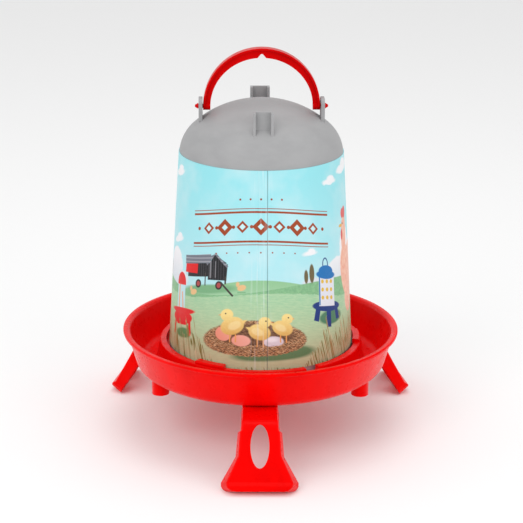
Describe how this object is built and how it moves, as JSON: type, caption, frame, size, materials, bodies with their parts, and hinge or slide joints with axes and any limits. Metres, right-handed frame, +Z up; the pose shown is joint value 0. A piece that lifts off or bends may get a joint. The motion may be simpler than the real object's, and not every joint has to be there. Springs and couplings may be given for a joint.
{
  "type": "poultry waterer fount",
  "caption": "Domed grey water bell in a printed sleeve, locked by a short twist into a red trough tray on splayed legs, with a swinging bow handle.",
  "frame": {"origin": "on the ground, on the axis of the tray and bell, midway between the feet as seen from above the tray", "axes": "+Z up along the bell's axis; -Y towards the front leg; +X to the right seen from the front; the handle's pins lie 1.7 degrees off it"},
  "size_m": [0.3702, 0.3808, 0.4512],
  "materials": {
    "red_plastic": "semi-gloss moulded polypropylene",
    "grey_plastic": "satin moulded polypropylene",
    "printed_sleeve": "printed film, satin"
  },
  "bodies": {
    "tray": {"tray": "red_plastic"},
    "fount": {"bell": "grey_plastic", "label_sleeve": "printed_sleeve"},
    "carry_handle": {"handle": "red_plastic"},
    "leg_front": {"front_leg": "red_plastic"},
    "leg_right": {"right_leg": "red_plastic"},
    "leg_left": {"left_leg": "red_plastic"}
  },
  "joints": [
    {"name": "bell_twist", "type": "hinge", "parent": "tray", "child": "fount", "pos_m": [0, 0, 0.0974], "axis": [0, 0, 1], "range_deg": [0, 16]},
    {"name": "handle_swing", "type": "hinge", "parent": "fount", "child": "carry_handle", "pos_m": [0, 0, 0.3843], "axis": [0.9996, 0.0297, 0], "range_deg": [-68, 68]},
    {"name": "leg_front_pull", "type": "slide", "parent": "tray", "child": "leg_front", "axis": [0, -1, 0], "range_m": [0, 0.05]},
    {"name": "leg_right_pull", "type": "slide", "parent": "tray", "child": "leg_right", "axis": [0.9816, 0.1908, 0], "range_m": [0, 0.05]},
    {"name": "leg_left_pull", "type": "slide", "parent": "tray", "child": "leg_left", "axis": [-0.9816, 0.1908, 0], "range_m": [0, 0.05]}
  ]
}
